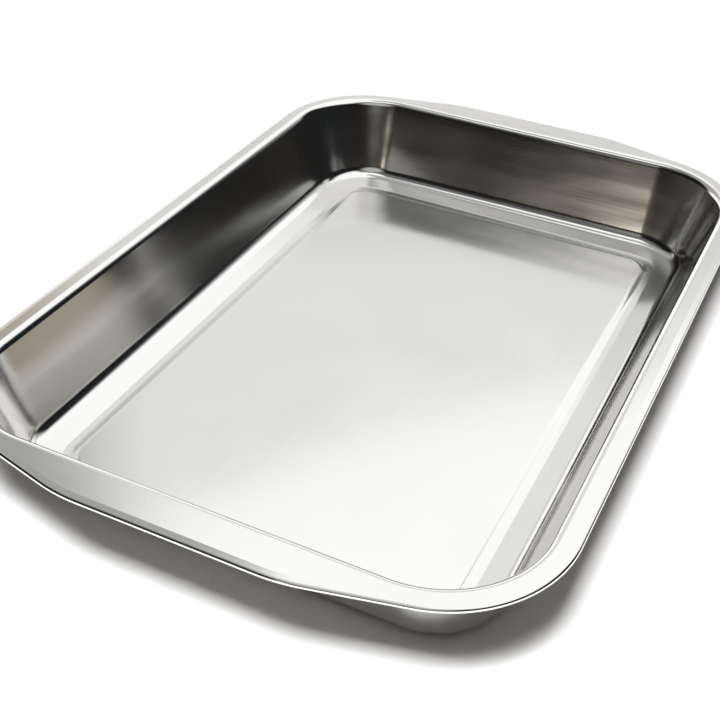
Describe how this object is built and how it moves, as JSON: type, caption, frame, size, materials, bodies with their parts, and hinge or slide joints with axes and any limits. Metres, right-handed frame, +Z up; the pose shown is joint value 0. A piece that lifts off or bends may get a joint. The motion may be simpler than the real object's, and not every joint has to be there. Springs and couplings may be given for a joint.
{
  "type": "developing tray",
  "caption": "Shallow rectangular steel tray with rounded corners, leaning walls, a flat rolled rim widened into a grip at each short end, and a raised floor panel, for baths of developer.",
  "frame": {"origin": "middle of the footprint, on the surface that the tray rests on", "axes": "+X across the tray, +Y along it from grip to grip, +Z up out of the open top"},
  "size_m": [0.275, 0.4, 0.046],
  "materials": {
    "stainless_steel": "semi-polished stainless steel sheet with faint lengthwise brushing"
  },
  "bodies": {
    "root": {"tray": "stainless_steel"}
  },
  "joints": []
}
